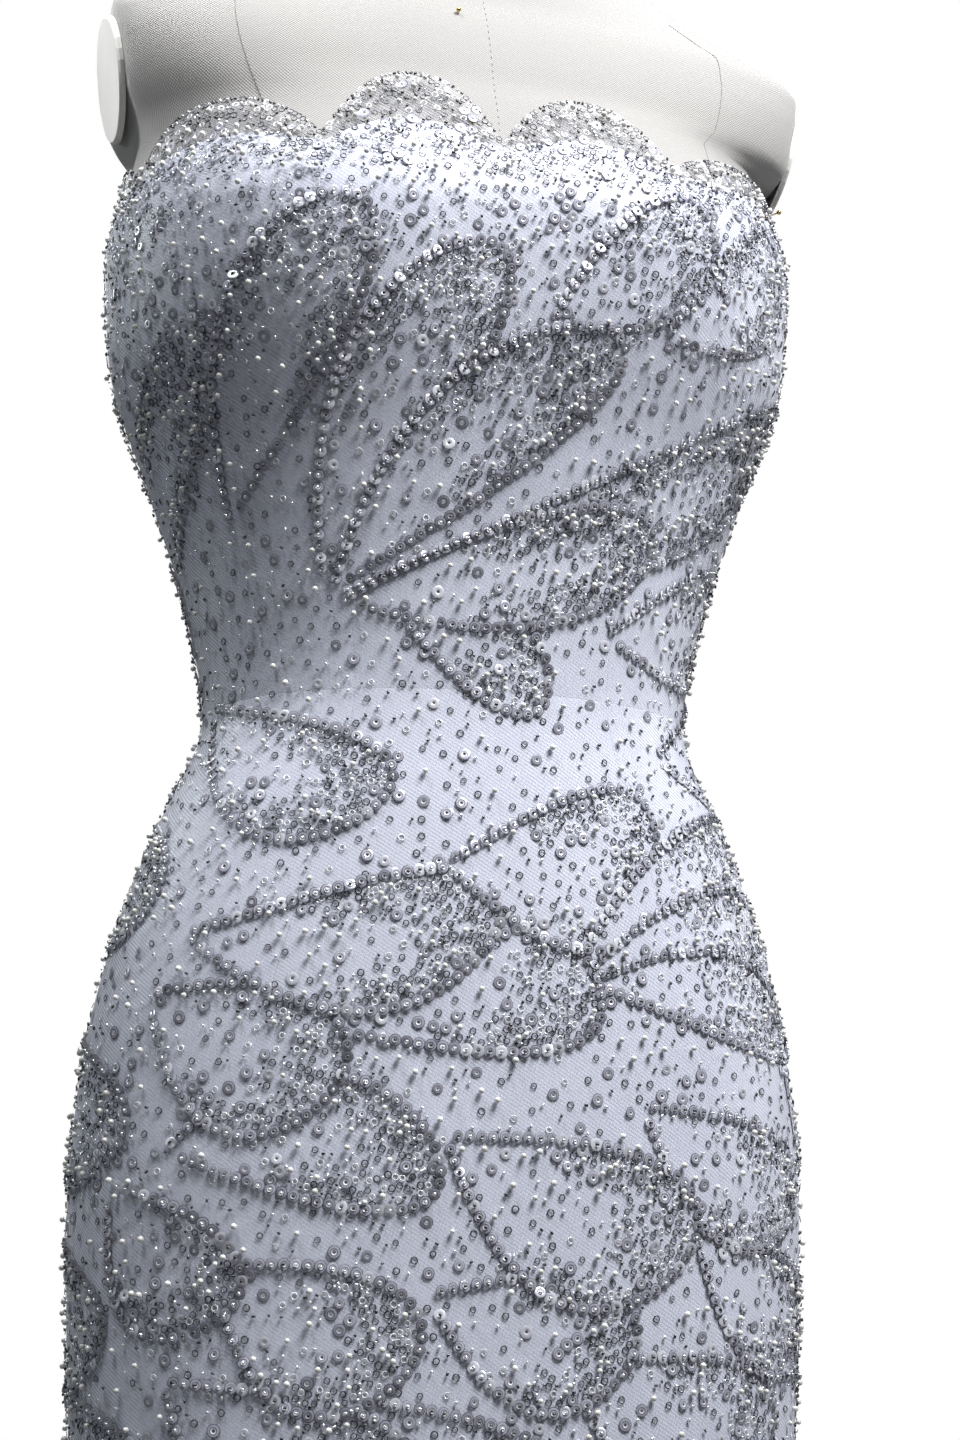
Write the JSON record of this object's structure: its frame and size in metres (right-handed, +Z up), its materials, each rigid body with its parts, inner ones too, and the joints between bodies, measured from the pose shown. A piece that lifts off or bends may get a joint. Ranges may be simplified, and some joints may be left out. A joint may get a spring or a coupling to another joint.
{
  "type": "mermaid evening gown on a dress form",
  "caption": "Strapless beaded mermaid evening gown with a scalloped neckline and a flared hem, worn by a limbless dress form on a round stand.",
  "frame": {"origin": "centre of the stand's underside, on the floor", "axes": "+Z up, -Y towards the gown's front, +X towards the wearer's left"},
  "size_m": [0.7855, 0.7567, 1.5053],
  "materials": {
    "satin": "satin",
    "net": "satin",
    "beads": "gloss",
    "sequins": "gloss",
    "jersey": "matte",
    "zip_coil": "satin",
    "zip_metal": "satin",
    "brass_pin": "polished",
    "painted_metal": "satin",
    "steel_tube": "satin"
  },
  "bodies": {
    "gown_and_form": {"bodice_centre_front": "satin", "bodice_side_front_left": "satin", "bodice_side_front_right": "satin", "bodice_side_back_left": "satin", "bodice_side_back_right": "satin", "bodice_centre_back_left": "satin", "bodice_centre_back_right": "satin", "skirt_centre_front": "satin", "skirt_side_front_left": "satin", "skirt_side_front_right": "satin", "skirt_side_back_left": "satin", "skirt_side_back_right": "satin", "skirt_centre_back_left": "satin", "skirt_centre_back_right": "satin", "flounce_centre_front": "satin", "flounce_side_front_left": "satin", "flounce_side_front_right": "satin", "flounce_side_back_left": "satin", "flounce_side_back_right": "satin", "flounce_centre_back_left": "satin", "flounce_centre_back_right": "satin", "neck_border_left": "net", "neck_border_right": "net", "zip_chain": "zip_coil", "zip_slider": "zip_metal", "form_torso": "jersey", "form_neck_cap": "painted_metal", "form_arm_plate_left": "painted_metal", "form_arm_plate_right": "painted_metal", "stand_base": "painted_metal", "stand_collar": "steel_tube", "stand_pole": "steel_tube"},
    "pull_tab": {"zip_pull_tab": "zip_metal"}
  },
  "joints": [
    {"name": "pull_tab_swing", "type": "hinge", "parent": "gown_and_form", "child": "pull_tab", "pos_m": [0, 0.10192, 1.275], "axis": [1, 0, 0], "range_deg": [0, 165]}
  ]
}
